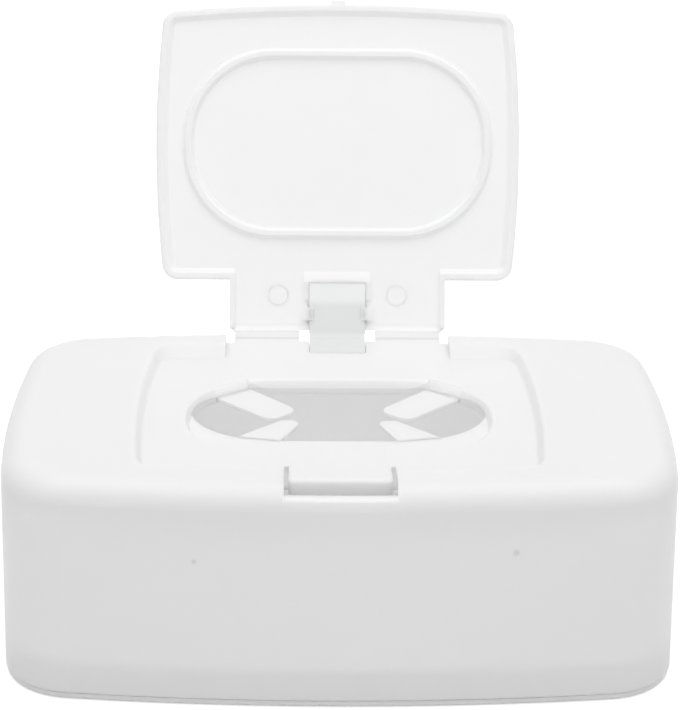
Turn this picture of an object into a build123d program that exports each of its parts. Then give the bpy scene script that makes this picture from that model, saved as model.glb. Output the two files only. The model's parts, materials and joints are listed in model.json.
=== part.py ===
from build123d import *
from math import cos, hypot, radians, sin, sqrt, tan
import os

os.makedirs("parts", exist_ok=True)

# Driving dimensions, millimetres and degrees. X runs across the front, Y away from the user and Z up.
# The origin is on the surface that the tub stands on, under the middle of the tub.

# Tub
body_width = 200.0
body_depth = 125.0
body_height = 69.2
front_bow_radius = 690.0
side_bow_radius = 410.0
plan_corner_radius = 21.0
top_edge_radius = 7.1
wall_lean = 0.8
wall = 1.8

# Base tray
tray_floor = 2.0
tray_edge_radius = 1.0
tray_inset = 0.4
seam_height = 0.4
seam_depth = 0.7
upstand_height = 12.0
upstand_wall = 1.4
fit_clearance = 0.35
grip_rib_width = 2.0
grip_rib_gap = 0.1
grip_rib_foot = 1.0
grip_rib_head = 1.5
grip_rib_pitch = 40.0

# Lid
lid_width = 119.2
lid_front_land = 14.55
lid_neck_length = 18.6
lid_side_radius = 380.0
lid_front_radius = 600.0
lid_corner_radius = 5.5
lid_plate = 1.3
lid_rim = 1.6
lid_rim_cove = 1.7
lid_edge_lean = 16.0
lid_top_radius = 0.8
lid_lean_back = 22.6
lid_floor_clearance = 0.4

# Neck of the lid
neck_width = 70.2
neck_roll_radius = 3.1
neck_rim_end = 3.2
neck_slant = 1.9
web_inner = 12.4
web_thickness = 0.4
web_half_length = 0.8
web_lift = 0.1
strap_width = 17.7
strap_thickness = 0.6
strap_reach = 17.9
strap_gap = 0.2
strap_side_gap = 0.3
strap_drop = 0.1
strap_bend_radius = 6.0
strap_slot_length = 12.7
border_width = 1.8
border_ramp = 3.8
border_length = 5.5
border_height = 1.05
lug_length = 4.2
lug_start = 5.7
lug_overlap = 1.0
lug_width = 2.5
lug_lip = 0.45
lug_lift = 0.2
lug_pit_width = 0.8
lug_pit_length = 0.9
lug_pit_depth = 0.7

# Seal ring under the lid
ring_half_width = 48.8
ring_margin = 16.0
ring_corner_slack = 1.55
ring_width = 3.8
ring_crest = 1.6
ring_land_gap = 0.25
ring_setback = 0.5

# Recess for the lid in the top of the tub
recess_depth = 3.2
recess_gap = 1.4
recess_back_gap = 5.4
recess_foot_gap = 0.35
recess_back_foot_gap = 0.45
recess_corner_growth = 3.5
recess_rim_radius = 1.5
recess_foot_radius = 0.9
channel_gap = 0.8
channel_lap = 5.0
hinge_edge_setback = 1.05
hinge_drop = 3.1
hinge_inset = 1.15
corner_notch_width = 3.0
corner_notch_depth = 3.6
web_hole_depth = 2.8
web_hole_rise = 2.5

# Dish and orifice
dish_depth = 2.8
dish_wall_lean = 25.0
dish_rim_radius = 0.9
dish_side_land = 2.3
dish_end_land = 0.95
dish_corner_slack = 2.3
leaf_back_bulge = 1.6
leaf_front_bulge = 2.8
leaf_tip_radius = 2.5
finger_thickness = 1.0
finger_hinge_gap = 0.3
finger_ramp_run = 2.2
back_finger_tip_radius = 4.0
front_finger_tip_radius = 2.2

# Corners of the orifice and of its fingers: X as a share of half the dish's width, Y of half its depth
back_corner = (0.596, 0.955)
leaf_back_corner = (0.813, 0.701)
leaf_tip_corner = (0.966, 0.236)
leaf_front_corner = (0.662, -0.363)
front_corner = (0.381, -0.458)
back_finger_inner = (0.261, 0.361)
back_finger_outer = (0.449, 0.093)
front_finger_inner = (0.241, 0.085)
front_finger_outer = (0.378, 0.085)

# Latch button
button_width = 29.7
button_slit = 1.25
button_wall = 1.6
button_reach = 6.0
button_front_gap = 2.0
button_edge_radius = 1.3
button_corner_radius = 1.4
button_apron_drop = 7.6
button_hinge_gap = 0.3
button_slit_run = 8.0
notch_depth = 3.2
notch_edge_radius = 2.3
nub_width = 4.6
nub_reach = 1.0
nub_height = 1.1
nub_lift = 0.3
catch_side_gap = 0.5
catch_lip = 1.0
catch_back_gap = 0.45

# Places that follow from the sizes above
eps = 0.01
far = 400.0
seam_top = tray_floor + seam_height
floor_z = body_height - recess_depth
dish_z = floor_z - dish_depth
hinge_y = body_depth / 2 - hinge_inset
hinge_z = body_height - hinge_drop
hinge_line = Axis((0, hinge_y, hinge_z), (1, 0, 0))
lid_open_angle = 90.0 + lid_lean_back
lid_rim_z = floor_z + lid_floor_clearance
lid_plate_z = body_height - lid_plate
lid_front_y = lid_front_land - body_depth / 2
lid_back_y = hinge_y - lid_neck_length
lid_edge_inset = (body_height - lid_rim_z) * tan(radians(lid_edge_lean))
web_width = neck_width / 2 - web_inner - neck_slant
ring_y = (lid_front_y + lid_back_y) / 2 + ring_setback
ring_half_depth = (lid_back_y - lid_front_y) / 2 - ring_margin
dish_half_width = ring_half_width - dish_side_land
dish_half_depth = ring_half_depth - dish_end_land
casing_edge_y = hinge_y - hinge_edge_setback
channel_half = neck_width / 2 + channel_gap
recess_front_top = lid_front_y - recess_gap
button_root_y = lid_front_y + lid_edge_inset - recess_foot_gap
button_front_y = recess_front_top - button_reach
strap_z = lid_plate_z - strap_gap - strap_thickness
strap_low_z = floor_z - strap_drop - strap_thickness / 2


def unit(x, y):
    length = hypot(x, y)
    return x / length, y / length


def tangent_corner(front_centre_y, front_radius, side_centre_x, side_radius, corner):
    """Centre and ends of the corner arc that touches the front arc and the side arc from inside."""
    to_front = front_radius - corner
    to_side = side_radius - corner
    dx = side_centre_x
    dy = -front_centre_y
    gap = hypot(dx, dy)
    along = (to_front**2 - to_side**2 + gap**2) / (2 * gap)
    across = sqrt(to_front**2 - along**2)
    ux, uy = dx / gap, dy / gap
    cx = along * ux - across * uy
    cy = front_centre_y + along * uy + across * ux
    fx, fy = unit(cx, cy - front_centre_y)
    sx, sy = unit(cx - side_centre_x, cy)
    mx, my = unit(fx + sx, fy + sy)
    front_end = (cx + corner * fx, cy + corner * fy)
    side_end = (cx + corner * sx, cy + corner * sy)
    middle = (cx + corner * mx, cy + corner * my)
    return front_end, middle, side_end


def tub_outline(inset, z):
    """Plan of the tub at height z, moved inwards by inset: four bowed sides and four round corners."""
    inset = inset - (body_height - z) * tan(radians(wall_lean))
    half_w = body_width / 2 - inset
    half_d = body_depth / 2 - inset
    front_radius = front_bow_radius - inset
    side_radius = side_bow_radius - inset
    corner = plan_corner_radius - inset
    front_end, middle, side_end = tangent_corner(
        front_radius - half_d, front_radius, half_w - side_radius, side_radius, corner
    )
    fx, fy = front_end
    mx, my = middle
    sx, sy = side_end
    edges = [
        ThreePointArc((-fx, fy), (0, -half_d), (fx, fy)),
        ThreePointArc((fx, fy), (mx, my), (sx, sy)),
        ThreePointArc((sx, sy), (half_w, 0), (sx, -sy)),
        ThreePointArc((sx, -sy), (mx, -my), (fx, -fy)),
        ThreePointArc((fx, -fy), (0, half_d), (-fx, -fy)),
        ThreePointArc((-fx, -fy), (-mx, -my), (-sx, -sy)),
        ThreePointArc((-sx, -sy), (-half_w, 0), (-sx, sy)),
        ThreePointArc((-sx, sy), (-mx, my), (-fx, fy)),
    ]
    return Pos(0, 0, z) * make_face(edges)


def tub_solid(inset, bottom, top):
    """Leaning walls over the tub's plan, between two heights."""
    return extrude(tub_outline(inset, bottom), amount=top - bottom, dir=(0, 0, 1), taper=wall_lean)


def rounded_tub(inset, bottom, top, edge_radius):
    solid = tub_solid(inset, bottom, top)
    return fillet(solid.faces().sort_by(Axis.Z)[-1].edges(), edge_radius)


def panel_outline(side, front, back, corner, z):
    """Plan of the lid without its neck at height z, each edge moved outwards by its own amount."""
    half = lid_width / 2 + side
    middle_y = (lid_front_y + lid_back_y) / 2
    back_y = lid_back_y + back
    front_y = lid_front_y - front
    side_radius = lid_side_radius + side
    front_radius = lid_front_radius + front
    side_x = half - side_radius
    front_c = front_y + front_radius
    back_x = side_x + sqrt(side_radius**2 - (back_y - middle_y) ** 2)
    dx = side_x
    dy = middle_y - front_c
    gap = hypot(dx, dy)
    along = (front_radius**2 - side_radius**2 + gap**2) / (2 * gap)
    across = sqrt(front_radius**2 - along**2)
    corner_x = along * dx / gap - across * dy / gap
    corner_y = front_c + along * dy / gap + across * dx / gap
    edges = [
        ThreePointArc((-corner_x, corner_y), (0, front_y), (corner_x, corner_y)),
        ThreePointArc((corner_x, corner_y), (half, middle_y), (back_x, back_y)),
        Line((back_x, back_y), (-back_x, back_y)),
        ThreePointArc((-back_x, back_y), (-half, middle_y), (-corner_x, corner_y)),
    ]
    face = make_face(edges)
    face = fillet(face.vertices(), corner)
    return Pos(0, 0, z) * face


def lid_outline(grow, z):
    return panel_outline(grow, grow, grow, lid_corner_radius + grow, z)


def oval(half_width, half_depth, slack, z):
    """Oval round the middle of the seal ring: straight ends of half-length slack between large round corners."""
    return Pos(0, ring_y, z) * RectangleRounded(2 * half_width, 2 * half_depth, half_depth - slack)


def box(x0, x1, y0, y1, z0, z1):
    return Pos((x0 + x1) / 2, (y0 + y1) / 2, (z0 + z1) / 2) * Box(x1 - x0, y1 - y0, z1 - z0)


def across(points, half_width, middle_x=0.0):
    """Prism along X with a side view given as (y, z) points."""
    wire = Polyline([(0, y, z) for y, z in points], close=True)
    return Pos(middle_x, 0, 0) * extrude(make_face(wire), amount=half_width, dir=(1, 0, 0), both=True)


def mirrored(solid):
    return mirror(solid, about=Plane.YZ)


def base_tray():
    """Shallow tray that closes the tub from below, with an upstand that grips inside the casing."""
    plate = tub_solid(tray_inset, 0, tray_floor)
    plate = fillet(plate.faces().sort_by(Axis.Z)[0].edges(), tray_edge_radius)
    seat = tub_solid(tray_inset + seam_depth, tray_floor, seam_top)
    outer = wall + fit_clearance
    upstand = tub_solid(outer, seam_top, upstand_height)
    room = tub_solid(outer + upstand_wall, tray_floor, upstand_height + 1)
    return plate + seat + upstand - room + grip_ribs()


def grip_ribs():
    """Upright ribs on the upstand that nearly touch the casing and keep it square."""
    rib_bottom = seam_top + grip_rib_foot
    rib_top = upstand_height - grip_rib_head
    shell = tub_solid(wall + grip_rib_gap, rib_bottom, rib_top)
    shell -= tub_solid(wall + fit_clearance + upstand_wall / 2, rib_bottom - 1, rib_top + 1)
    half = grip_rib_width / 2
    slabs = []
    for x in rib_places(body_width):
        slabs.append(box(x - half, x + half, -far, far, rib_bottom, rib_top))
    for y in rib_places(body_depth):
        slabs.append(box(-far, far, y - half, y + half, rib_bottom, rib_top))
    return [shell & slab for slab in slabs]


def rib_places(length):
    """Places of the ribs along one side, evenly spaced between its corners."""
    straight = length - 2 * plan_corner_radius
    count = round(straight / grip_rib_pitch)
    pitch = straight / count
    return [pitch * (i - (count - 1) / 2) for i in range(count)]


def recess(grow):
    """Sloping room for the closed lid; grown by the wall it is the lump under the top of the tub."""
    foot = grow + recess_foot_gap - lid_edge_inset
    rim = grow + recess_gap
    low = panel_outline(foot, foot, grow + recess_back_foot_gap, lid_corner_radius + grow, floor_z - grow)
    corner = lid_corner_radius + recess_corner_growth + grow
    room = loft([low, panel_outline(rim, rim, grow + recess_back_gap, corner, body_height)], ruled=True)
    return fillet(room.faces().sort_by(Axis.Z)[0].edges(), recess_foot_radius)


def channel(grow):
    """Way out over the back for the neck of the lid."""
    half = channel_half + grow
    return box(-half, half, lid_back_y - channel_lap, far / 2, floor_z - grow, body_height)


def round_rim(shell, z, radius):
    """Rounds the edge where the flat face at height z breaks off into the hollow inside it."""
    level = shell.faces().filter_by(Axis.Z).filter_by(lambda face: abs(face.center().Z - z) < eps)
    rim = level.sort_by(SortBy.AREA)[-1].inner_wires()[0]
    return fillet(rim.edges(), radius)


def dish(grow):
    """Oval hollow with sloping walls, around the orifice."""
    slope = tan(radians(dish_wall_lean))

    def level(z):
        out = grow + (z - floor_z) * slope
        return oval(dish_half_width + out, dish_half_depth + out, dish_corner_slack, z)

    return loft([level(dish_z - grow), level(floor_z + dish_depth)], ruled=True)


def bulged(start, end, bulge):
    """Arc between two points that swells away from the middle of the orifice."""
    (x0, y0), (x1, y1) = start, end
    length = hypot(x1 - x0, y1 - y0)
    nx, ny = (y1 - y0) / length, -(x1 - x0) / length
    middle = ((x0 + x1) / 2 + bulge * nx, (y0 + y1) / 2 + bulge * ny)
    return ThreePointArc(start, middle, end)


def in_dish(corner):
    x, y = corner
    return x * dish_half_width, ring_y + y * dish_half_depth


def orifice_half():
    """Right half of the opening in the dish, out to the lines where the fingers bend."""
    back = in_dish(back_corner)
    leaf_back = in_dish(leaf_back_corner)
    tip = in_dish(leaf_tip_corner)
    leaf_front = in_dish(leaf_front_corner)
    front = in_dish(front_corner)
    edges = [
        Line((-eps, back[1]), back),
        Line(back, leaf_back),
        bulged(tip, leaf_back, leaf_back_bulge),
        bulged(leaf_front, tip, leaf_front_bulge),
        Line(leaf_front, front),
        Line(front, (-eps, front[1])),
        Line((-eps, front[1]), (-eps, back[1])),
    ]
    face = make_face(edges)
    tip_corner = face.vertices().sort_by(Axis.X)[-1]
    return fillet(tip_corner, leaf_tip_radius)


def orifice():
    half = extrude(Pos(0, 0, dish_z - 2 * wall) * orifice_half(), amount=3 * wall, dir=(0, 0, 1))
    return half + mirrored(half)


def root_normal(root):
    """Unit vector in plan from a finger's root line towards the middle of the orifice."""
    (ax, ay), (dx, dy) = root
    nx, ny = unit(dy - ay, ax - dx)
    side = nx * (ax + dx) / 2 + ny * ((ay + dy) / 2 - ring_y)
    return (-nx, -ny) if side > 0 else (nx, ny)


def root_strip(root, width, beyond=0.0):
    """Plan of the strip between a finger's root line and a line parallel to it, width nearer the middle."""
    (ax, ay), (dx, dy) = root
    nx, ny = root_normal(root)
    ux, uy = unit(dx - ax, dy - ay)
    ax, ay = ax - ux * beyond, ay - uy * beyond
    dx, dy = dx + ux * beyond, dy + uy * beyond
    gx, gy = nx * width, ny * width
    return make_face(Polyline((ax, ay), (dx, dy), (dx + gx, dy + gy), (ax + gx, ay + gy), close=True))


def finger(root, tip, tip_radius):
    """Flexible finger over the orifice: a flat strip with a round end, free of the casing at its root."""
    face = make_face(Polyline(root[0], tip[0], tip[1], root[1], close=True))
    ends = [v for v in face.vertices() if min(hypot(v.X - x, v.Y - y) for x, y in tip) < eps]
    flat = fillet(ends, tip_radius) - root_strip(root, finger_hinge_gap, tip_radius)
    return extrude(Pos(0, 0, dish_z) * flat, amount=finger_thickness, dir=(0, 0, -1))


def back_finger_root():
    return in_dish(back_corner), in_dish(leaf_back_corner)


def finger_ramp():
    """Slope from the root of a back finger up to the rim of the dish."""
    root = back_finger_root()
    low = root_strip(root, eps)
    high = root_strip(root, -finger_ramp_run)
    return loft([Pos(0, 0, dish_z) * low, Pos(0, 0, floor_z) * high], ruled=True)


def back_finger():
    tip = (in_dish(back_finger_inner), in_dish(back_finger_outer))
    return finger(back_finger_root(), tip, back_finger_tip_radius)


def front_finger():
    root = (in_dish(front_corner), in_dish(leaf_front_corner))
    tip = (in_dish(front_finger_inner), in_dish(front_finger_outer))
    return finger(root, tip, front_finger_tip_radius)


def notch(half):
    """Room in front of the latch button, over a ledge with a round front."""
    ledge_z = body_height - notch_depth
    round_y = notch_edge_radius - body_depth / 2
    round_z = ledge_z - notch_edge_radius
    ledge = box(-half, half, round_y, far, 0, ledge_z)
    ledge += Pos(0, round_y, round_z) * Rot(0, 90, 0) * Cylinder(notch_edge_radius, 2 * half)
    return box(-half, half, -far, button_root_y + button_hinge_gap, round_z, far) - ledge


def button_room():
    """Slits beside the latch button and the notch in front of it."""
    half = button_width / 2 + button_slit
    hole_front = button_front_y - button_front_gap
    below = box(-half, half, hole_front, button_root_y + button_hinge_gap, floor_z - 2 * wall, far)
    slits = box(-half, half, button_root_y, button_root_y + button_slit_run, floor_z - 2 * wall, far)
    tongue = button_width / 2
    slits -= box(-tongue, tongue, button_root_y - 1, button_root_y + button_slit_run + 1, 0, 2 * far)
    return notch(half) + below + slits


def hinge_room():
    """Everything cut from the back edge of the casing for the lid's hinge and its strap."""
    bottom = floor_z - wall - 1
    slot_half = strap_width / 2 + strap_side_gap
    outer = web_inner + web_width
    slot = box(-slot_half, slot_half, hinge_y - strap_slot_length, far, bottom, far)
    holes = box(-web_inner, web_inner, hinge_y - web_hole_depth, far, bottom, far)
    edge = box(-outer, outer, casing_edge_y, far, floor_z - wall, far)
    corner = box(outer, outer + corner_notch_width, casing_edge_y - corner_notch_depth, far, bottom, far)
    return slot + holes + edge + corner + mirrored(corner)


def casing():
    """Thin moulded cover, open below, with the recess, dish, orifice and notch in its top."""
    shell = rounded_tub(0, seam_top, body_height, top_edge_radius)
    inside = rounded_tub(wall, seam_top - 1, body_height - wall, top_edge_radius - wall)
    inside -= recess(wall)
    inside -= channel(wall)
    inside -= dish(wall)
    shell -= inside
    shell -= recess(0)
    shell -= dish(0)
    shell = round_rim(shell, body_height, recess_rim_radius)
    shell = round_rim(shell, floor_z, dish_rim_radius)
    shell -= channel(0)
    ramp = finger_ramp()
    shell -= ramp + mirrored(ramp)
    shell -= orifice()
    shell -= button_room()
    return shell - hinge_room()


def open_point(v, w):
    """Side-view place of a point on the open lid: v along it from the hinge, w out of its inner face."""
    a = radians(lid_lean_back)
    return hinge_y + v * sin(a) + w * cos(a), hinge_z + v * cos(a) - w * sin(a)


def opened(solid):
    return solid.rotate(hinge_line, -lid_open_angle)


def neck_plate():
    """Neck in side view: a flat plate that rolls down to the hinge."""
    centre_y = hinge_y - web_half_length - neck_roll_radius
    inner = neck_roll_radius - lid_plate
    root = lid_back_y - lid_corner_radius
    foot_z = hinge_z + web_lift
    s = sqrt(0.5)
    end_outer = centre_y + sqrt(neck_roll_radius**2 - web_lift**2)
    end_inner = centre_y + sqrt(inner**2 - web_lift**2)

    def at(radius):
        return (0, centre_y + s * radius, hinge_z + s * radius)

    edges = [
        Line((0, root, hinge_z + neck_roll_radius), (0, centre_y, hinge_z + neck_roll_radius)),
        ThreePointArc((0, centre_y, hinge_z + neck_roll_radius), at(neck_roll_radius), (0, end_outer, foot_z)),
        Line((0, end_outer, foot_z), (0, end_inner, foot_z)),
        ThreePointArc((0, end_inner, foot_z), at(inner), (0, centre_y, hinge_z + inner)),
        Line((0, centre_y, hinge_z + inner), (0, root, hinge_z + inner)),
        Line((0, root, hinge_z + inner), (0, root, hinge_z + neck_roll_radius)),
    ]
    return extrude(make_face(edges), amount=neck_width / 2, dir=(1, 0, 0), both=True)


def neck_rims():
    outer = neck_width / 2
    rim = box(outer - lid_rim, outer, lid_back_y - lid_rim, hinge_y - neck_rim_end, lid_rim_z, body_height - eps)
    return rim + mirrored(rim)


def neck_cuts():
    """Window for the strap, gaps beside the webs and the slanted ends of the neck."""
    outer = web_inner + web_width
    slot_half = strap_width / 2 + strap_side_gap
    window = box(-web_inner, web_inner, hinge_y - web_hole_rise, far, 0, far)
    behind_strap = strap_z + strap_thickness + strap_gap
    slot = box(-slot_half, slot_half, hinge_y - web_half_length - neck_roll_radius - 1, far, 0, behind_strap)
    slant = make_face(
        Polyline(
            (neck_width / 2 + 1, hinge_y - neck_rim_end, 0),
            (neck_width / 2, hinge_y - neck_rim_end, 0),
            (outer, hinge_y - neck_rim_end / 2, 0),
            (outer, hinge_y + 1, 0),
            (neck_width / 2 + 1, hinge_y + 1, 0),
            close=True,
        )
    )
    slant = extrude(slant, amount=far, dir=(0, 0, 1))
    return window + slot + slant + mirrored(slant)


def strap_border():
    """Raised frame that holds the upper end of the strap, sloping up to the lid."""
    top = lid_plate_z + eps
    low = top - border_height
    end = hinge_y - strap_reach
    half = strap_width / 2 + strap_side_gap + border_width
    ramp = across([(end, top), (end, low), (end - border_height / 4, low), (end - border_ramp, top)], half)
    inner = strap_width / 2 + strap_side_gap
    side = box(inner, inner + border_width, end - eps, end + border_length, low, top)
    return ramp + side + mirrored(side)


def strap_lugs():
    """Two hooked lugs on the neck that keep the strap from lifting off."""
    reach = strap_width / 2 - lug_overlap
    side = strap_width / 2 + strap_side_gap
    y0 = hinge_y - lug_start - lug_length
    y1 = hinge_y - lug_start
    low = hinge_z + lug_lift
    lip = box(reach, side + lug_width, y0, y1, low, low + lug_lip)
    foot = box(side, side + lug_width, y0, y1, low, lid_plate_z + eps)
    lug = lip + foot
    return lug + mirrored(lug)


def lug_pits():
    """Pits beside the lugs, left by the pins that form their undersides."""
    x0 = strap_width / 2
    x1 = x0 + lug_pit_width
    y0 = hinge_y - lug_start
    y1 = hinge_y - lug_start - lug_length
    top = lid_plate_z + lug_pit_depth
    pits = box(x0, x1, y0, y0 + lug_pit_length, 0, top)
    pits += box(x0, x1, y1 - lug_pit_length, y1, 0, top)
    return pits + mirrored(pits)


def ring_oval(offset, z):
    return oval(ring_half_width + offset, ring_half_depth + offset, ring_corner_slack, z)


def seal_ring():
    """Low ridge under the lid that closes on the land around the dish."""
    foot = ring_width / 2
    crest = ring_crest / 2
    low = floor_z + ring_land_gap
    outer = loft([ring_oval(foot, lid_plate_z + eps), ring_oval(crest, low)], ruled=True)
    inner = loft([ring_oval(-foot, lid_plate_z + 2 * eps), ring_oval(-crest, low - eps)], ruled=True)
    return outer - inner


def nub():
    """Small catch on the front edge of the lid."""
    tip_y = lid_front_y - nub_reach
    low = lid_rim_z + nub_lift
    side = [
        (lid_front_y + lid_rim, low),
        (tip_y + nub_reach / 4, low),
        (tip_y, low + nub_height / 2),
        (tip_y + nub_reach / 4, low + nub_height),
        (lid_front_y + lid_rim, low + nub_height),
    ]
    return across(side, nub_width / 2)


def closed_lid():
    body = loft([lid_outline(-lid_edge_inset, lid_rim_z), lid_outline(0, body_height)], ruled=True)
    body = fillet(body.faces().sort_by(Axis.Z)[-1].edges(), lid_top_radius)
    rim_inset = lid_edge_inset + lid_rim
    room = loft([lid_outline(-rim_inset, lid_rim_z - eps), lid_outline(-rim_inset - lid_rim_cove, lid_plate_z)])
    neck_inner = neck_width / 2 - lid_rim
    room += box(-neck_inner, neck_inner, lid_back_y - 4 * lid_rim, lid_back_y + 1, lid_rim_z - 1, lid_plate_z)
    body -= room
    body += neck_plate() + neck_rims()
    body -= neck_cuts()
    body += strap_border() + strap_lugs() + seal_ring() + nub()
    return body - lug_pits()


def lid():
    return opened(closed_lid())


def living_hinge():
    """Thin web between the casing's back edge and the neck, bent to the open lid."""
    under = floor_z - web_thickness
    near_y, near_z = open_point(web_half_length, web_lift)
    far_y, far_z = open_point(web_half_length, web_lift + web_thickness)
    side = [
        (casing_edge_y, floor_z),
        (hinge_y, floor_z),
        (near_y, near_z),
        (far_y, far_z),
        (hinge_y + web_thickness / 2, under),
        (casing_edge_y, under),
    ]
    return across(side, web_width / 2, web_inner + web_width / 2)


def snap_strap():
    """Springy strap from the floor of the recess, past the hinge and up the neck."""
    middle = strap_z + strap_thickness / 2 - hinge_z
    top = open_point(strap_reach, middle)
    rise = (strap_low_z - hinge_z + middle * sin(radians(lid_lean_back))) / cos(radians(lid_lean_back))
    bend = open_point(rise, middle)
    foot_y = hinge_y - strap_slot_length
    points = [(0, *top), (0, *bend), (0, foot_y, strap_low_z)]
    path = FilletPolyline(*points, radius=strap_bend_radius)
    section = Plane(origin=path @ 0, z_dir=path % 0, x_dir=(1, 0, 0)) * Rectangle(strap_width, strap_thickness)
    return sweep(section, path=path)


def latch_button():
    """Tongue at the front: back wall with the catch, top plate and apron."""
    under = body_height - button_wall
    foot_y = button_root_y
    top_y = recess_front_top
    apron_y = button_front_y
    back_in = top_y - button_wall
    side = [
        (foot_y, floor_z),
        (top_y, body_height),
        (apron_y, body_height),
        (apron_y, body_height - button_apron_drop),
        (apron_y + button_wall, body_height - button_apron_drop),
        (apron_y + button_wall, under),
        (back_in, under),
        (foot_y - button_wall / 2, floor_z - wall),
        (foot_y, floor_z - wall),
    ]
    body = across(side, button_width / 2)
    front_corners = body.edges().filter_by(Axis.Z).sort_by(Axis.Y)[:2]
    body = fillet(front_corners, button_corner_radius)
    top_face = body.faces().sort_by(Axis.Z)[-1]
    body = fillet(top_face.edges().sort_by(Axis.Y)[:3], button_edge_radius)
    catch_half = nub_width / 2 + catch_side_gap
    pocket_front = lid_front_y - nub_reach - catch_back_gap
    return body - box(-catch_half, catch_half, pocket_front, foot_y + 1, floor_z, body_height - catch_lip)


def write(name, shape):
    export_step(shape, f"parts/{name}.step")


write("base_tray", base_tray())
write("casing", casing())
write("lid", lid())
write("living_hinge_right", living_hinge())
write("living_hinge_left", mirrored(living_hinge()))
write("snap_strap", snap_strap())
write("latch_button", latch_button())
write("finger_back_right", back_finger())
write("finger_back_left", mirrored(back_finger()))
write("finger_front_right", front_finger())
write("finger_front_left", mirrored(front_finger()))
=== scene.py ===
import json
import math

import bmesh
import bpy
from mathutils import Matrix, Vector


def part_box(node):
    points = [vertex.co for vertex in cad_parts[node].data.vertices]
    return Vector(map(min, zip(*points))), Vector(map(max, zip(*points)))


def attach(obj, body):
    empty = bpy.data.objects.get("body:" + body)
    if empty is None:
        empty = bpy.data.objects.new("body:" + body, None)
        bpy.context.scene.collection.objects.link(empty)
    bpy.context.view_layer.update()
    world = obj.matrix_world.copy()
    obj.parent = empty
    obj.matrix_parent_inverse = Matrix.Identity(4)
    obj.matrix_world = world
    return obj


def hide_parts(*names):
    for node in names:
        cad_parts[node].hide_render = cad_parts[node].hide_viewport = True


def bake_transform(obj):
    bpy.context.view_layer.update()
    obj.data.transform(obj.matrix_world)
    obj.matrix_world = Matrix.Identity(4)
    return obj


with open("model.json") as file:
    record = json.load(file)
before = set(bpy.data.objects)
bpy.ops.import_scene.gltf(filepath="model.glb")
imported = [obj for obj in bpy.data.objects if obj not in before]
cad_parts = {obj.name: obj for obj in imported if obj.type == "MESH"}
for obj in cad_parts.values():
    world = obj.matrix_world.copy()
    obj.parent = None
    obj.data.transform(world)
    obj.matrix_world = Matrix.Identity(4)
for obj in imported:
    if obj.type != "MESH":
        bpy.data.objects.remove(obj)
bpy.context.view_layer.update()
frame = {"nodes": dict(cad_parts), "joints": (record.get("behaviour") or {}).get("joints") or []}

# View
# The tub stands a little more than two thirds of a metre away, seen from above the front edge.
# The lens, the tilt and the small offsets follow the straight edges of the tub in the photograph.
picture_height = 710
focal_pixels = 2534.2
shift_pixels = -1.6
film_size = 36
eye = Vector((-0.00904, -0.70659, 0.37024))
pitch = 0.38324
yaw = 0.01304
roll = -0.00901
ahead = Vector((math.sin(yaw) * math.cos(pitch), math.cos(yaw) * math.cos(pitch), -math.sin(pitch)))
level_right = Vector((math.cos(yaw), -math.sin(yaw), 0))
level_down = ahead.cross(level_right)
right = math.cos(roll) * level_right + math.sin(roll) * level_down
down = -math.sin(roll) * level_right + math.cos(roll) * level_down
camera = bpy.data.objects.new("camera", bpy.data.cameras.new("camera"))
camera.data.sensor_width = film_size
camera.data.lens = focal_pixels * film_size / picture_height
camera.data.shift_y = shift_pixels / picture_height
camera.data.clip_start = 0.05
camera.data.clip_end = 20
camera.matrix_world = Matrix((
    (right.x, -down.x, -ahead.x, eye.x),
    (right.y, -down.y, -ahead.y, eye.y),
    (right.z, -down.z, -ahead.z, eye.z),
    (0, 0, 0, 1),
))
bpy.context.scene.collection.objects.link(camera)
bpy.context.scene.camera = camera
bpy.context.scene.view_settings.view_transform = "Standard"


# Light
# Soft daylight from all round and a large panel overhead, as over a white table.
# The front of the tub is lit mostly by the room, so it stays a little greyer than the top.
def greater(nodes, links, first, second):
    """Output of a node that gives the greater of two values."""
    chosen = nodes.new("ShaderNodeMath")
    chosen.operation = "MAXIMUM"
    links.new(first, chosen.inputs[0])
    links.new(second, chosen.inputs[1])
    return chosen.outputs[0]


def white_background(nodes, strength):
    background = nodes.new("ShaderNodeBackground")
    background.inputs["Color"].default_value = (1, 1, 1, 1)
    background.inputs["Strength"].default_value = strength
    return background.outputs[0]


room_light = 0.6
room = bpy.data.worlds.new("white_room")
bpy.context.scene.world = room
room.use_nodes = True
nodes = room.node_tree.nodes
links = room.node_tree.links
nodes.clear()
path = nodes.new("ShaderNodeLightPath")
seen = greater(nodes, links, path.outputs["Is Camera Ray"], path.outputs["Is Transmission Ray"])
mixed = nodes.new("ShaderNodeMixShader")
links.new(seen, mixed.inputs[0])
links.new(white_background(nodes, room_light), mixed.inputs[1])
links.new(white_background(nodes, 1.0), mixed.inputs[2])
world_out = nodes.new("ShaderNodeOutputWorld")
links.new(mixed.outputs[0], world_out.inputs["Surface"])


def lamp(name, place, aim, width, depth, power, in_reflections=True):
    """Rectangular lamp at a place, turned towards another place."""
    light = bpy.data.lights.new(name, "AREA")
    light.shape = "RECTANGLE"
    light.size = width
    light.size_y = depth
    light.energy = power
    hung = bpy.data.objects.new(name, light)
    turned = (Vector(aim) - Vector(place)).to_track_quat("-Z", "Y").to_matrix().to_4x4()
    hung.matrix_world = Matrix.Translation(place) @ turned
    hung.visible_glossy = in_reflections
    bpy.context.scene.collection.objects.link(hung)
    return hung


lamp("overhead_panel", (0.05, -0.27, 1.27), (0, 0, 0.03), 1.6, 1.2, 8)
# A weak lamp on the viewer's side lifts the front wall.
lamp("front_fill", (0, -1.4, 0.7), (0, 0, 0.05), 1.4, 1.0, 0.9, False)
# A low window behind the tub shines through the thin lid.
lamp("window_behind", (0, 1.3, 0.3), (0, 0, 0.1), 1.2, 0.5, 5, False)
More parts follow.
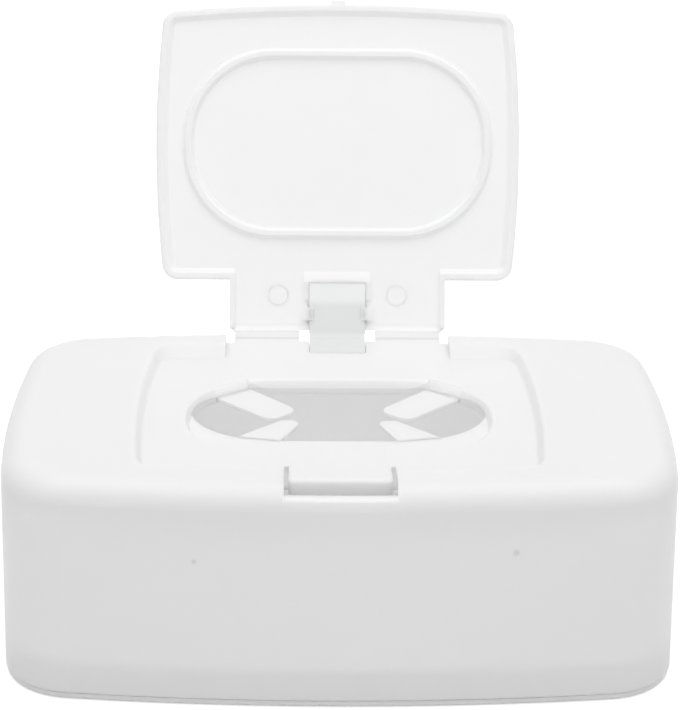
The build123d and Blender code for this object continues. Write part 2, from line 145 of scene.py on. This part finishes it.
# The day that comes through the translucent walls of the real tub, as a weak lamp inside it.
inner_glow = lamp("inner_glow", (0, 0, 0.058), (0, 0, 0), 0.18, 0.11, 0.031)
inner_glow.visible_camera = False

# Floor
# A plain white sheet that the tub stands on. It reads white to the eye and keeps the tub's soft shadow.
sheet_half = 6
sheet_z = -0.0002
corners = [(-sheet_half, -sheet_half), (sheet_half, -sheet_half), (sheet_half, sheet_half), (-sheet_half, sheet_half)]
floor_mesh = bpy.data.meshes.new("floor")
floor_mesh.from_pydata([(x, y, sheet_z) for x, y in corners], [], [(0, 1, 2, 3)])
floor = bpy.data.objects.new("floor", floor_mesh)
bpy.context.scene.collection.objects.link(floor)
sheet = bpy.data.materials.new("white_sheet")
sheet.use_nodes = True
nodes = sheet.node_tree.nodes
links = sheet.node_tree.links
nodes.clear()
paper = nodes.new("ShaderNodeBsdfDiffuse")
paper.inputs["Color"].default_value = (0.72, 0.72, 0.72, 1)
lift = nodes.new("ShaderNodeEmission")
lift.inputs["Color"].default_value = (1, 1, 1, 1)
path = nodes.new("ShaderNodeLightPath")
amount = nodes.new("ShaderNodeMath")
amount.operation = "MULTIPLY"
links.new(greater(nodes, links, path.outputs["Is Camera Ray"], path.outputs["Is Glossy Ray"]), amount.inputs[0])
amount.inputs[1].default_value = 0.5
links.new(amount.outputs[0], lift.inputs["Strength"])
summed = nodes.new("ShaderNodeAddShader")
links.new(paper.outputs[0], summed.inputs[0])
links.new(lift.outputs[0], summed.inputs[1])
floor_out = nodes.new("ShaderNodeOutputMaterial")
links.new(summed.outputs[0], floor_out.inputs["Surface"])
floor.data.materials.append(sheet)


# Casing
# The cover of the tub: one thin shell injection moulded in white polypropylene, open below.
# Its skin is a very fine satin with faint flow clouds and two dark specks trapped in the front wall.
def fading(nodes, links, value, full, none):
    """Share that falls smoothly from 1 to 0 as a value goes from full to none."""
    share = nodes.new("ShaderNodeMapRange")
    share.interpolation_type = "SMOOTHSTEP"
    share.inputs["From Min"].default_value = full
    share.inputs["From Max"].default_value = none
    share.inputs["To Min"].default_value = 1
    share.inputs["To Max"].default_value = 0
    links.new(value, share.inputs["Value"])
    return share.outputs["Result"]


def in_box(nodes, links, place, low, high, fade):
    """Share of a box between two corners: 1 inside it, fading to 0 at its faces."""
    low, high = Vector(low), Vector(high)
    beyond = place
    for operation, amount in (("SUBTRACT", (low + high) / 2), ("ABSOLUTE", None), ("SUBTRACT", (high - low) / 2)):
        step = nodes.new("ShaderNodeVectorMath")
        step.operation = operation
        links.new(beyond, step.inputs[0])
        if amount is not None:
            step.inputs[1].default_value = amount
        beyond = step.outputs["Vector"]
    split = nodes.new("ShaderNodeSeparateXYZ")
    links.new(beyond, split.inputs[0])
    wider = greater(nodes, links, split.outputs["X"], split.outputs["Y"])
    return fading(nodes, links, greater(nodes, links, wider, split.outputs["Z"]), -fade, 0)


def painted(nodes, links, under, share, colour):
    """Colour that goes from the one under it to a new one, by a share."""
    blended = nodes.new("ShaderNodeMix")
    blended.data_type = "RGBA"
    links.new(share, blended.inputs["Factor"])
    links.new(under, blended.inputs["A"])
    blended.inputs["B"].default_value = (*colour, 1)
    return blended.outputs["Result"]


def moulded_plastic(name, colour, roughness, cloud, grain, glow, tones=(), specks=()):
    """White moulded polypropylene with faint clouds and a satin grain; glow is how deep light soaks into it.

    A tone is (low corner, high corner, colour, fade) of a part of the piece whose colour is painted lighter or
    darker, a painted light or shade.
    A speck is (place, radius) of a grain of dark dust in the plastic.
    """
    material = bpy.data.materials.new(name)
    material.use_nodes = True
    nodes = material.node_tree.nodes
    links = material.node_tree.links
    nodes.clear()
    out = nodes.new("ShaderNodeOutputMaterial")
    skin = nodes.new("ShaderNodeBsdfPrincipled")
    links.new(skin.outputs[0], out.inputs["Surface"])
    skin.inputs["IOR"].default_value = 1.49
    skin.inputs["Specular IOR Level"].default_value = 0.45
    if glow:
        skin.inputs["Subsurface Weight"].default_value = 1
        skin.inputs["Subsurface Radius"].default_value = (1, 1, 1)
        skin.inputs["Subsurface Scale"].default_value = glow
    place = nodes.new("ShaderNodeTexCoord").outputs["Object"]
    clouds = nodes.new("ShaderNodeTexNoise")
    clouds.inputs["Scale"].default_value = 22
    clouds.inputs["Detail"].default_value = 3
    links.new(place, clouds.inputs["Vector"])
    tint = nodes.new("ShaderNodeMix")
    tint.data_type = "RGBA"
    tint.inputs["A"].default_value = (*[c * (1 - cloud) for c in colour], 1)
    tint.inputs["B"].default_value = (*[min(1, c * (1 + cloud)) for c in colour], 1)
    links.new(clouds.outputs["Fac"], tint.inputs["Factor"])
    shade = tint.outputs["Result"]
    for low, high, tone, fade in tones:
        shade = painted(nodes, links, shade, in_box(nodes, links, place, low, high, fade), tone)
    for centre, radius in specks:
        away = nodes.new("ShaderNodeVectorMath")
        away.operation = "DISTANCE"
        away.inputs[1].default_value = centre
        links.new(place, away.inputs[0])
        spot = fading(nodes, links, away.outputs["Value"], radius * 0.3, radius * 1.2)
        shade = painted(nodes, links, shade, spot, dust_grey)
    links.new(shade, skin.inputs["Base Color"])
    gloss = nodes.new("ShaderNodeMapRange")
    gloss.inputs["To Min"].default_value = roughness - 0.05
    gloss.inputs["To Max"].default_value = roughness + 0.05
    links.new(clouds.outputs["Fac"], gloss.inputs["Value"])
    links.new(gloss.outputs["Result"], skin.inputs["Roughness"])
    fine = nodes.new("ShaderNodeTexNoise")
    fine.inputs["Scale"].default_value = 1400
    fine.inputs["Detail"].default_value = 2
    links.new(place, fine.inputs["Vector"])
    relief = nodes.new("ShaderNodeBump")
    relief.inputs["Strength"].default_value = grain
    relief.inputs["Distance"].default_value = 0.00002
    links.new(fine.outputs["Fac"], relief.inputs["Height"])
    links.new(relief.outputs[0], skin.inputs["Normal"])
    return material


def dress(node, material):
    """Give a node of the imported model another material."""
    piece = frame["nodes"][node]
    piece.data.materials.clear()
    piece.data.materials.append(material)


# The wall of the dish, the edges of the opening and the room round the latch button are painted lighter than the
# rest:
# a painted light that lifts their shade, standing in for the light that soaks through the plastic where it is cut.
dust_grey = (0.74, 0.74, 0.73)
painted_light_white = (0.99, 0.99, 0.99)
edge_fade = 0.0004
dish_wall_painted_light = ((-0.050, -0.032, 0.0633), (0.050, 0.032, 0.0659), painted_light_white, edge_fade)
opening_edges_painted_light = ((-0.050, -0.032, 0.0550), (0.050, 0.032, 0.0631), painted_light_white, edge_fade)
button_slits_painted_light = ((-0.0166, -0.0598, 0.0550), (0.0166, -0.0478, 0.0690), painted_light_white, edge_fade)
notch_ledge_painted_light = ((-0.0166, -0.0640, 0.0648), (0.0166, -0.0594, 0.0668), painted_light_white, edge_fade)
painted_light_edges = [dish_wall_painted_light, opening_edges_painted_light, button_slits_painted_light, notch_ledge_painted_light]
dust = [((0.05, -0.06096, 0.04903), 0.0012), ((-0.0416, -0.0615, 0.0462), 0.0009)]
casing_plastic = moulded_plastic("casing_plastic", (0.87, 0.87, 0.87), 0.42, 0.006, 0.25, 0.002, painted_light_edges, dust)
dress("casing", casing_plastic)

# Base tray
# The shallow tray that the cover fits over, of the same polypropylene, seen as the band under the dark seam.
# Its colour is painted lighter than the cover's, a painted light that lifts the shade it sits in near the floor.
tray_plastic = moulded_plastic("tray_plastic", (0.98, 0.98, 0.98), 0.45, 0.006, 0.3, 0.002)
dress("base_tray", tray_plastic)

# Lid
# Thin plate with a rim and a seal ring, moulded with the cover in one shot and so thin that light comes through.
# The pins that push it out of the mould leave two faint round marks on the inner face of its neck.
# The roll of the neck is painted darker, a painted shade that dims the extra light its upturned face catches.
roll_painted_shade = ((-0.042, 0.055, 0.0677), (0.042, 0.070, 0.0701), (0.91, 0.91, 0.91), edge_fade)
# The lid's colour is painted lighter than the cover's, a painted light on top of the light that really comes through
# it.
lid_plastic = moulded_plastic("lid_plastic", (0.97, 0.97, 0.97), 0.4, 0.006, 0.2, 0.0016, [roll_painted_shade])
dress("lid", lid_plastic)

lid_hinge = next(joint for joint in frame["joints"] if joint["name"] == "lid_hinge")
hinge_y, hinge_z = lid_hinge["pos_m"][1], lid_hinge["pos_m"][2]
lean_back = math.radians(22.6)
up_lid = Vector((0, math.sin(lean_back), math.cos(lean_back)))
out_of_lid = Vector((0, -math.cos(lean_back), math.sin(lean_back)))
inner_face = 0.0018


def on_lid(x, v, w):
    """Place on the open lid: x across, v up from the hinge line, w behind it."""
    return Vector((x, hinge_y, hinge_z)) + v * up_lid - w * out_of_lid


def pin_mark_tree(material):
    """Node tree for a row of round pin marks: count, spacing and radius are its inputs."""
    tree = bpy.data.node_groups.new("pin_marks", "GeometryNodeTree")
    tree.interface.new_socket("Geometry", in_out="OUTPUT", socket_type="NodeSocketGeometry")
    tree.interface.new_socket("Count", in_out="INPUT", socket_type="NodeSocketInt")
    tree.interface.new_socket("Spacing", in_out="INPUT", socket_type="NodeSocketFloat")
    tree.interface.new_socket("Radius", in_out="INPUT", socket_type="NodeSocketFloat")
    asked = tree.nodes.new("NodeGroupInput")
    step = tree.nodes.new("ShaderNodeCombineXYZ")
    row = tree.nodes.new("GeometryNodeMeshLine")
    disc = tree.nodes.new("GeometryNodeMeshCone")
    disc.inputs["Vertices"].default_value = 40
    disc.inputs["Depth"].default_value = 0.00001
    slimmer = tree.nodes.new("ShaderNodeMath")
    slimmer.operation = "MULTIPLY"
    slimmer.inputs[1].default_value = 0.9
    put = tree.nodes.new("GeometryNodeInstanceOnPoints")
    real = tree.nodes.new("GeometryNodeRealizeInstances")
    paint = tree.nodes.new("GeometryNodeSetMaterial")
    paint.inputs["Material"].default_value = material
    made = tree.nodes.new("NodeGroupOutput")
    links = tree.links
    links.new(asked.outputs["Count"], row.inputs["Count"])
    links.new(asked.outputs["Spacing"], step.inputs["X"])
    links.new(step.outputs[0], row.inputs["Offset"])
    links.new(asked.outputs["Radius"], disc.inputs["Radius Bottom"])
    links.new(asked.outputs["Radius"], slimmer.inputs[0])
    links.new(slimmer.outputs[0], disc.inputs["Radius Top"])
    links.new(row.outputs["Mesh"], put.inputs["Points"])
    links.new(disc.outputs["Mesh"], put.inputs["Instance"])
    links.new(put.outputs[0], real.inputs[0])
    links.new(real.outputs[0], paint.inputs[0])
    links.new(paint.outputs[0], made.inputs[0])
    return tree


mark_count = 2
mark_spacing = 0.0386
mark_height = 0.0138
mark_radius = 0.0032
mark_sunk = 0.000005
mark_plastic = moulded_plastic("mark_plastic", (0.985, 0.985, 0.985), 0.4, 0.004, 0.2, 0)
mark_tree = pin_mark_tree(mark_plastic)
holder = bpy.data.objects.new("pin_marks_nodes", bpy.data.meshes.new("pin_marks_nodes"))
bpy.context.scene.collection.objects.link(holder)
modifier = holder.modifiers.new("marks", "NODES")
modifier.node_group = mark_tree
values = {"Count": mark_count, "Spacing": mark_spacing, "Radius": mark_radius}
for socket in mark_tree.interface.items_tree:
    if socket.name in values:
        modifier[socket.identifier] = values[socket.name]
bpy.context.view_layer.update()
marks_mesh = bpy.data.meshes.new_from_object(holder.evaluated_get(bpy.context.evaluated_depsgraph_get()))
bpy.data.objects.remove(holder)
for vertex in marks_mesh.vertices:
    x, v, w = vertex.co
    vertex.co = on_lid(x - mark_spacing / 2, v + mark_height, inner_face + mark_sunk - w)
marks = bpy.data.objects.new("pin_marks", marks_mesh)
bpy.context.scene.collection.objects.link(marks)
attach(marks, "lid")


# Hinge webs
# Two thin films, moulded with the lid and the cover in one shot, that join them and bend when the lid moves.
# Each lies a little below the floor of the recess, and its low flat part is painted darker, a painted shade, so it
# reads as a soft grey line.
def band(name, path, width, middle_x, thickness, edge, material):
    """Flat band swept along a side-view path of (y, z) points, with eased long edges and closed ends."""
    half = width / 2
    lift = thickness / 2
    flat = lift - edge
    section = [(-half, flat), (-half + edge, lift), (half - edge, lift), (half, flat)]
    section += [(half, -flat), (half - edge, -lift), (-half + edge, -lift), (-half, -flat)]
    mesh = bmesh.new()
    rings = []
    for i, (y, z) in enumerate(path):
        before = Vector(path[max(i - 1, 0)])
        after = Vector(path[min(i + 1, len(path) - 1)])
        along = (after - before).normalized()
        normal = Vector((-along.y, along.x))
        ring = []
        for x, lift_here in section:
            ring.append(mesh.verts.new((middle_x + x, y + normal.x * lift_here, z + normal.y * lift_here)))
        rings.append(ring)
    return closed_strip(name, mesh, rings, material)


def closed_strip(name, mesh, rings, material):
    """Finish a strip from its rings of corners: faces between the rings and one at each end."""
    count = len(rings[0])
    for low, high in zip(rings, rings[1:]):
        for i in range(count):
            k = (i + 1) % count
            mesh.faces.new((low[i], low[k], high[k], high[i]))
    mesh.faces.new(list(reversed(rings[0])))
    mesh.faces.new(rings[-1])
    bmesh.ops.recalc_face_normals(mesh, faces=mesh.faces)
    data = bpy.data.meshes.new(name)
    mesh.to_mesh(data)
    mesh.free()
    data.shade_smooth()
    data.set_sharp_from_angle(angle=math.radians(35))
    data.materials.append(material)
    piece = bpy.data.objects.new(name, data)
    bpy.context.scene.collection.objects.link(piece)
    return piece


def side_place(v, w):
    """Side view (y, z) of a place on the open lid."""
    place = on_lid(0, v, w)
    return place.y, place.z


def smooth_path(corners, count):
    """Points along a curve that starts and ends at the outer corners and is drawn towards those between."""
    curve = bpy.data.curves.new("route", "CURVE")
    curve.dimensions = "3D"
    spline = curve.splines.new("NURBS")
    spline.points.add(len(corners) - 1)
    for point, (y, z) in zip(spline.points, corners):
        point.co = (0, y, z, 1)
    spline.order_u = 3
    spline.use_endpoint_u = True
    spline.resolution_u = count
    route = bpy.data.objects.new("route", curve)
    line = bpy.data.meshes.new_from_object(route)
    points = [(v.co.y, v.co.z) for v in line.vertices]
    bpy.data.objects.remove(route)
    bpy.data.meshes.remove(line)
    return points


dish_depth = 0.0028
floor_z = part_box("finger_back_left")[1].z + dish_depth
casing_edge_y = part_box("living_hinge_left")[0].y
web_thickness = 0.0003
web_edge = 0.0001
web_level = floor_z - 0.0004
web_start = (casing_edge_y - 0.0001, web_level)
web_end = side_place(0.0019, 0.0002)
web_route = smooth_path([web_start, (hinge_y, web_level), side_place(0.0008, 0.0002), web_end], 12)
web_painted_shade = ((-0.05, 0.05, 0.06), (0.05, 0.066, 0.0664), (0.8, 0.8, 0.8), edge_fade)
web_plastic = moulded_plastic("web_plastic", (0.99, 0.99, 0.99), 0.4, 0.004, 0.2, 0, [web_painted_shade])
for side in ("left", "right"):
    low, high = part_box("living_hinge_" + side)
    middle_x = (low.x + high.x) / 2
    web = band("hinge_web_" + side, web_route, high.x - low.x, middle_x, web_thickness, web_edge, web_plastic)
    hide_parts("living_hinge_" + side)
    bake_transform(web)

# Snap strap
# A milky strip of natural polypropylene. It runs up from the recess past the hinge and throws the lid open.
# Its colour is a painted grey for the dark that shows through it where nothing white lies behind it, lighter at the
# top as a painted light where the white lid lies behind it, and darkest at the foot as a painted shade where it lies
# in its slot.
strap_top_painted_light = ((-1, -1, 0.075), (1, 1, 1), (0.95, 0.96, 0.96), 0.0025)
strap_foot_painted_shade = ((-1, -1, -1), (1, 1, 0.0675), (0.80, 0.81, 0.81), 0.0015)
strap_painted_light_and_shade = [strap_top_painted_light, strap_foot_painted_shade]
strap_plastic = moulded_plastic("strap_plastic", (0.84, 0.85, 0.85), 0.35, 0.006, 0.2, 0, strap_painted_light_and_shade)
low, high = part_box("snap_strap")
strap_thickness = 0.0006
strap_edge = 0.0001
strap_extra_width = 0.00056
strap_foot_share = 0.98
strap_behind = 0.0013
strap_level = low.z + strap_thickness / 2
strap_bend_start = (hinge_y - 0.0028, strap_level)
strap_bend_end = side_place(0.004, strap_behind)
strap_corners = [(low.y, strap_level), strap_bend_start, side_place(0, strap_behind), strap_bend_end]
strap_corners.append(side_place(0.01805, strap_behind))
strap_route = smooth_path(strap_corners, 16)
strap_width = high.x - low.x + strap_extra_width
strap = band("snap_strap_band", strap_route, strap_width, 0, strap_thickness, strap_edge, strap_plastic)
for vertex in strap.data.vertices:
    if vertex.co.z < floor_z + 0.001:
        vertex.co.x *= strap_foot_share
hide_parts("snap_strap")
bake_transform(strap)

# Latch button
# A tongue moulded in one with the cover; pressing its top frees the nub of the lid.
# A thin root joins it to the floor of the recess, and bends when it is pressed.
dress("latch_button", casing_plastic)


def root_film(name, start, end, towards, thickness):
    """Thin strip between two top corners, reaching towards the moving piece, that lies between it and the casing."""
    steps = 6
    sunk = Vector((0, 0, -thickness))
    mesh = bmesh.new()
    rings = []
    for i in range(steps + 1):
        reach = towards * i / steps
        corners = (start + reach, end + reach, end + reach + sunk, start + reach + sunk)
        rings.append([mesh.verts.new(corner) for corner in corners])
    film = closed_strip(name, mesh, rings, root_plastic)
    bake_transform(film)


root_gap = 0.0003
button_root_thickness = 0.0018
root_plastic = moulded_plastic("root_plastic", (0.955, 0.955, 0.955), 0.4, 0.006, 0.2, 0)
low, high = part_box("latch_button")
button_root_left = Vector((low.x, high.y + root_gap, floor_z))
button_root_right = Vector((high.x, high.y + root_gap, floor_z))
towards_button = Vector((0, -root_gap, 0))
root_film("latch_root", button_root_left, button_root_right, towards_button, button_root_thickness)

# Fingers
# Four flexible fingers over the opening, moulded in one with the cover and thin enough to bend at their roots.
# The root of each is the edge of its top face nearest to its joint.
same_line = 0.00001
for node in ("finger_back_left", "finger_back_right", "finger_front_left", "finger_front_right"):
    dress(node, casing_plastic)
    low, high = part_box(node)
    joint = next(joint for joint in frame["joints"] if joint["child"] == node)
    pivot = Vector(joint["pos_m"])
    axis = Vector(joint["axis"]).normalized()
    towards = Vector((0, 0, 1)).cross(axis)
    corners = [v.co.copy() for v in frame["nodes"][node].data.vertices if v.co.z > high.z - same_line]
    distances = [(corner - pivot).dot(towards) for corner in corners]
    if max(distances) < -min(distances):
        towards = -towards
        distances = [-distance for distance in distances]
    nearest = min(distances)
    root = [corner for corner, distance in zip(corners, distances) if distance < nearest + same_line]
    root.sort(key=lambda corner: corner.dot(axis))
    reach = towards * root_gap
    root_film(node + "_root", root[0] - reach, root[-1] - reach, reach, high.z - low.z)
